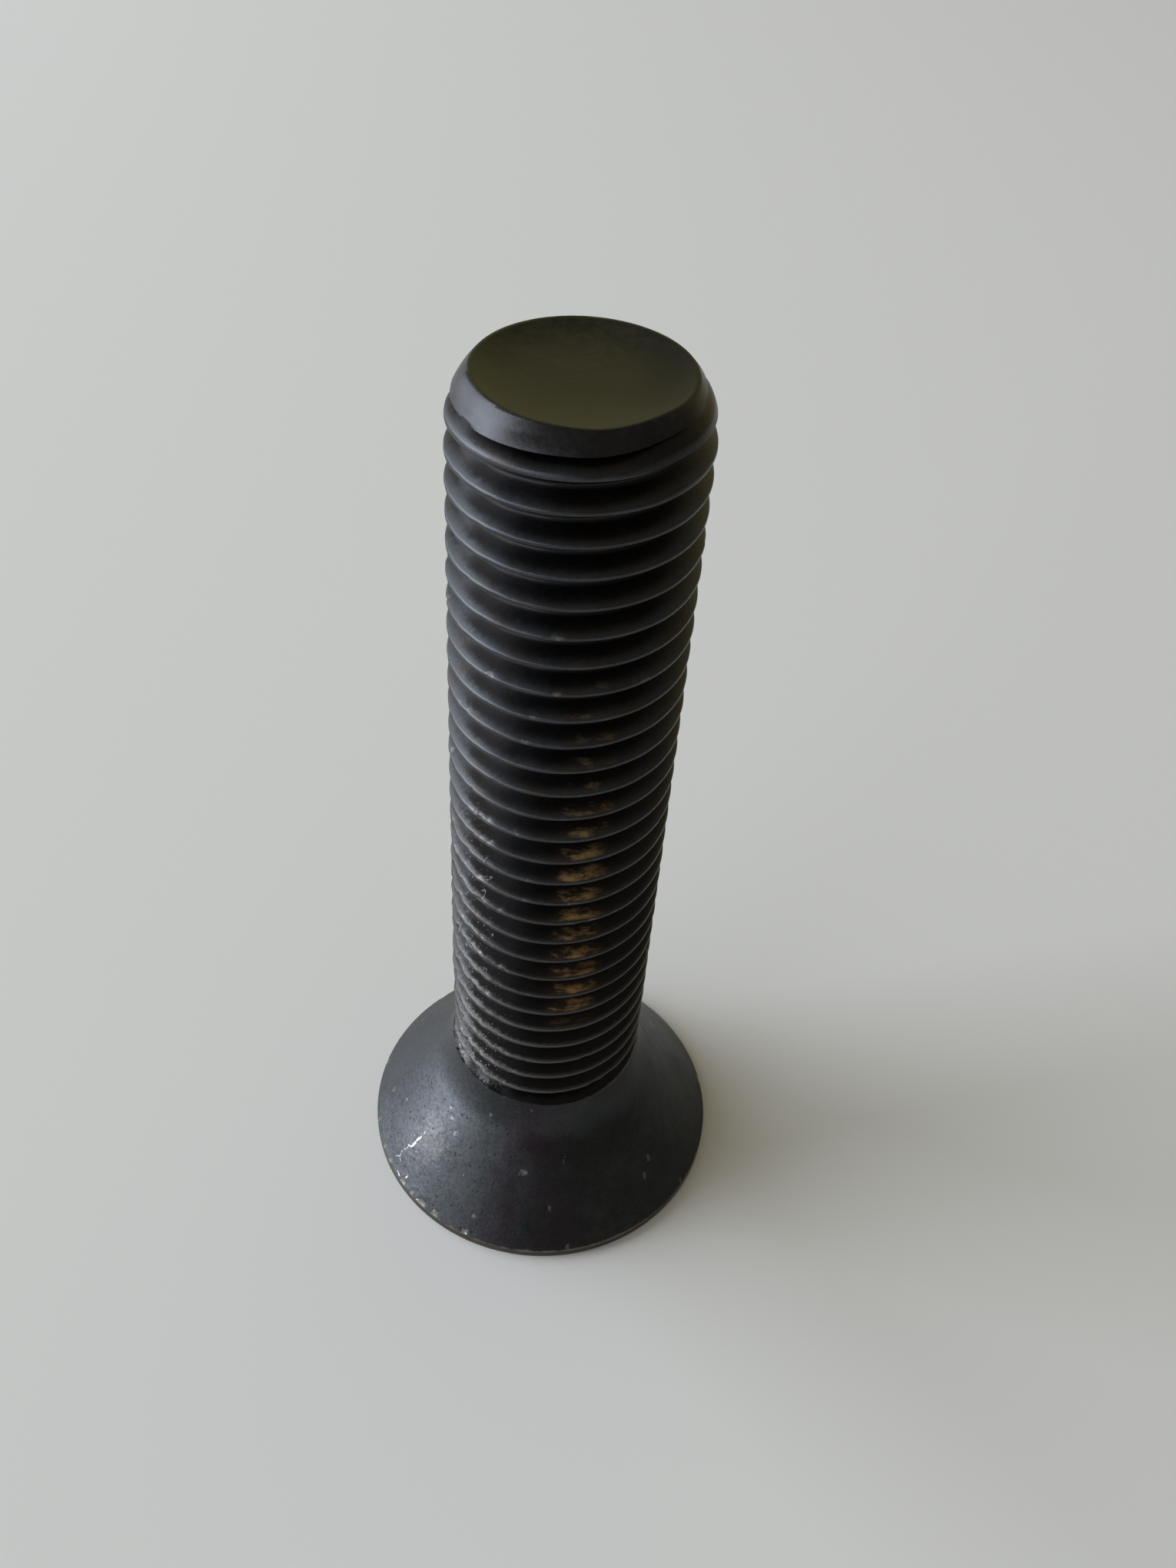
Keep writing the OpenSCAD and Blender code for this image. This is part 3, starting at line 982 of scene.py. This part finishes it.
def head_finish():
    """Forged head: mottled oxide, a worn patch, fine streaks down the cone, scratches and specks, with
    a painted sheen on the side facing the brightest window and a painted purple reflection at the
    front.
    """
    material, tree, shader, place = new_finish("black_oxide_head")
    angle = placed(tree, "thread_place", Vector=place)["Angle"]
    out = outward(tree, place)
    worn = mark(tree, "worn")

    # Oxide with tints and a painted purple reflection at the front, a painted sheen on the side facing
    # the brightest window, streaks down the cone and a fine dark grain
    oxide = placed(tree, "oxide_mottle", Vector=place, Dark=HEAD_DARK, Light=HEAD_LIGHT, Blotch=0.25,
                   Grain=1.2)
    greened = step_up(tree, noise(tree, place, 0.22, 3), 0.4, 0.65)
    colour = tint(tree, greened, oxide["Color"], GREENED)
    reflected_purple = step_up(tree, noise(tree, place, 0.35, 4), 0.25, 0.75)
    reflected_purple = times(tree, reflected_purple, between(tree, angle, *CONE_REFLECTING, 0.35))
    colour = tint(tree, reflected_purple, colour, REFLECTED_PURPLE)
    # A painted sheen on the side facing the brightest window
    side = step_up(tree, vector_maths(tree, "DOT_PRODUCT", out, LIT_SIDE), 0.5, 0.98)
    colour = tint(tree, times(tree, side, 0.9), colour, LIT_SHEEN)
    around = vector_maths(tree, "MULTIPLY_ADD", out, (26, 26, 0), stretched(tree, place, (0, 0, 0.35)))
    streaks = step_up(tree, noise(tree, around, 2.0, 3, 0.6), 0.5, 0.72)
    streaks = times(tree, streaks, between(tree, angle, *CONE_STREAKED, 0.35))
    colour = tint(tree, times(tree, streaks, 0.25), colour, RUBBED)
    fine = step_up(tree, noise(tree, place, 2.6, 4, 0.7), 0.46, 0.58)
    fine = times(tree, fine, scaled(tree, step_up(tree, angle, *CONE_PLAIN), -0.14, 0.34))
    colour = tint(tree, fine, colour, PITTED)

    # The worn patch, pits beside it, the browned land and the rubbed rim
    patch = placed(tree, "rubbed_through", Vector=place, Mask=times(tree, worn, 0.62), Grain=1.6,
                   Ragged=0.7, Soft=0.35)["Share"]
    colour = tint(tree, patch, colour, PATCH_WORN)
    pits = placed(tree, "grit_specks", Vector=place, Scale=1.9, Size=0.36, Chance=0.36)["Share"]
    pits = times(tree, pits, between(tree, angle, *CONE_PITTED, 0.5))
    colour = tint(tree, times(tree, pits, 0.7), colour, PITTED)
    colour = tint(tree, mark(tree, "stain_and_glint"), colour, LAND_BROWN)
    edge = placed(tree, "rubbed_through", Vector=place, Mask=times(tree, mark(tree, "edge"), 0.7),
                  Grain=0.8, Ragged=0.9, Soft=0.3)["Share"]
    colour = tint(tree, times(tree, edge, 0.8), colour, EDGE_WORN)

    # Specks, dents, chips in the rim and scratches
    dented = placed(tree, "rubbed_through", Vector=place, Mask=mark(tree, "nick"), Grain=3.0,
                    Ragged=1.6, Soft=0.4)["Share"]
    specks = placed(tree, "grit_specks", Vector=place, Scale=0.9, Size=0.12, Chance=0.1)["Share"]
    grit = placed(tree, "grit_specks", Vector=place, Scale=2.8, Size=0.32, Chance=0.5)["Share"]
    specks = most(tree, times(tree, specks, 0.4), times(tree, grit, worn))
    colour = tint(tree, most(tree, specks, times(tree, dented, 0.65)), colour, WORN)
    by_rim = rest_of(tree, step_up(tree, split(tree, place)[2], 1.8, 2.2))
    colour = tint(tree, times(tree, dented, by_rim), colour, CHIPPED)
    bare = cone_scratches(tree, place)
    colour = tint(tree, bare, colour, BARE)

    roughness = blend(tree, oxide["Share"], 0.42, 0.50)
    roughness = blend(tree, bare, roughness, 0.28)
    grain = noise(tree, place, 3.0, 3, 0.5)
    bump = scaled(tree, grain, scaled(tree, worn, 0.04, 0.014), times(tree, patch, 0.01))
    bump = scaled(tree, pits, -0.03, bump)
    join(tree, shader, colour, roughness, 1.0, bump)
    return material


def end_finish():
    """Dished end: a smooth oxide whose olive is partly a painted reflection of the wall behind, with
    painted shade, darker and greyer, towards +X.
    """
    material, tree, shader, place = new_finish("black_oxide_end")
    oxide = placed(tree, "oxide_mottle", Vector=place, Dark=DISH_OXIDE_REFLECTION_DARK, Light=DISH_OXIDE_REFLECTION_LIGHT, Blotch=0.2,
                   Grain=1.5)
    # Painted shade, darker and greyer towards +X
    dish_shade = times(tree, step_up(tree, split(tree, place)[0], 1.0, 7.0), 0.8)
    colour = tint(tree, dish_shade, oxide["Color"], DISH_SHADE_GREY)
    roughness = blend(tree, oxide["Share"], 0.42, 0.50)
    join(tree, shader, colour, roughness, 1.0, times(tree, noise(tree, place, 4.0, 3), 0.008))
    return material


def socket_finish():
    """Face and wrench socket: plain oxide with a coarser grain."""
    material, tree, shader, place = new_finish("black_oxide_socket")
    oxide = placed(tree, "oxide_mottle", Vector=place, Dark=OXIDE_DARK, Light=OXIDE_LIGHT, Blotch=0.3,
                   Grain=3.0)
    roughness = blend(tree, oxide["Share"], 0.42, 0.56)
    bump = times(tree, noise(tree, place, 4.0, 4), 0.02)
    join(tree, shader, oxide["Color"], roughness, 1.0, bump)
    return material


# ---------------------------------------------------------------- Table, light and camera
TABLE_HALF = 1.4
TABLE_WHITE = (0.86, 0.86, 0.85, 1)

# Windows: bearing in degrees, width and height in degrees as seen from the bolt, and radiance
WINDOWS = {"window_left": (180, 32, 42, 7.4),
           "window_front_left": (217, 42, 24, 2.9),
           "window_back_left": (148, 30, 43, 3.2)}
WINDOW_AWAY = 2.4
WINDOW_TINT = (0.86, 0.92, 1.0)

# The room's own light
ROOM_LOW = (0.112, 0.10, 0.074, 1)
ROOM_HIGH = (0.20, 0.185, 0.155, 1)
WALL_OLIVE = (0.50, 0.45, 0.22, 1)
WALL_PALE = (0.60, 0.63, 0.68, 1)

# Camera: where it stands, in millimetres, its lens, and its heading, dip and roll in radians
CAMERA_AT = (0, -84.67, 131.96)
CAMERA_LENS = 31.65
HEADING, DIP, ROLL = 0.02805, 0.77046, 0.07879


def stage_table():
    """A plain pale table top."""
    half = TABLE_HALF
    corners = [(-half, -half, 0), (half, -half, 0), (half, half, 0), (-half, half, 0)]
    mesh = bpy.data.meshes.new("table_top")
    mesh.from_pydata(corners, [], [(0, 1, 2, 3)])
    material = bpy.data.materials.new("pale_table")
    material.use_nodes = True
    feed(material.node_tree, material.node_tree.nodes["Principled BSDF"],
         {"Base Color": TABLE_WHITE, "Roughness": 0.9, "Specular IOR Level": 0.1})
    mesh.materials.append(material)
    table = bpy.data.objects.new("table_top", mesh)
    link(table)


def window(name, bearing, spread, top, radiance):
    """A soft window: an upright panel of light, standing on the table's level away from the bolt.

    It is spread degrees wide and reaches top degrees up, as seen from the bolt. A panel of
    area A and radiance L gives off pi * A * L watts.
    """
    lamp = bpy.data.lights.new(name, "AREA")
    lamp.shape = "RECTANGLE"
    lamp.size = 2 * WINDOW_AWAY * np.tan(np.radians(spread / 2))
    lamp.size_y = WINDOW_AWAY * np.tan(np.radians(top))
    lamp.energy = np.pi * lamp.size * lamp.size_y * radiance
    lamp.color = WINDOW_TINT
    panel = bpy.data.objects.new(name, lamp)
    angle = np.radians(bearing)
    out = np.array([np.cos(angle), np.sin(angle), 0])
    up = np.array([0, 0, 1.0])
    centre = out * WINDOW_AWAY + up * lamp.size_y / 2
    panel.matrix_world = Matrix((*zip(np.cross(up, out), up, out, centre), (0, 0, 0, 1)))
    panel.visible_camera = False
    link(panel)


def dim_room():
    """The room's own light: dim overhead, pale walls low on the left and an olive wall behind."""
    world = bpy.data.worlds.new("dim_room")
    world.use_nodes = True
    bpy.context.scene.world = world
    tree = world.node_tree
    x, y, z = split(tree, add(tree, "ShaderNodeTexCoord").outputs["Generated"])
    behind = times(tree, step_up(tree, y, 0.0, 0.8), step_up(tree, x, -0.65, -0.2))
    behind = times(tree, behind, rest_of(tree, step_up(tree, z, 0.4, 0.8)))
    left = step_up(tree, scaled(tree, y, -0.34, times(tree, x, -0.94)), 0.3, 0.8)
    left = times(tree, left, rest_of(tree, step_up(tree, z, 0.1, 0.5)))
    colour = tint(tree, step_up(tree, z, 0.15, 0.55), ROOM_LOW, ROOM_HIGH)
    colour = tint(tree, behind, colour, WALL_OLIVE)
    colour = tint(tree, left, colour, WALL_PALE)
    tree.links.new(colour, tree.nodes["Background"].inputs["Color"])


def camera():
    """The camera, above the table and close in front of the bolt."""
    lens = bpy.data.cameras.new("camera")
    lens.lens = CAMERA_LENS
    lens.sensor_width = 36
    lens.clip_start = 0.005
    ahead = np.array([np.sin(HEADING) * np.cos(DIP), np.cos(HEADING) * np.cos(DIP), -np.sin(DIP)])
    level = np.array([np.cos(HEADING), -np.sin(HEADING), 0])
    upward = np.cross(level, ahead)
    right = np.cos(ROLL) * level + np.sin(ROLL) * upward
    above = np.cos(ROLL) * upward - np.sin(ROLL) * level
    eye = bpy.data.objects.new("camera", lens)
    eye.matrix_world = Matrix((*zip(right, above, -ahead, np.array(CAMERA_AT) * MM), (0, 0, 0, 1)))
    link(eye)
    bpy.context.scene.camera = eye


camera()
stage_table()
for window_name, panel_sizes in WINDOWS.items():
    window(window_name, *panel_sizes)
dim_room()
bpy.context.scene.view_settings.view_transform = "Standard"

bolt = make_bolt([thread_finish(), head_finish(), socket_finish(), end_finish()])
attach(bolt, "root")
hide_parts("bolt")
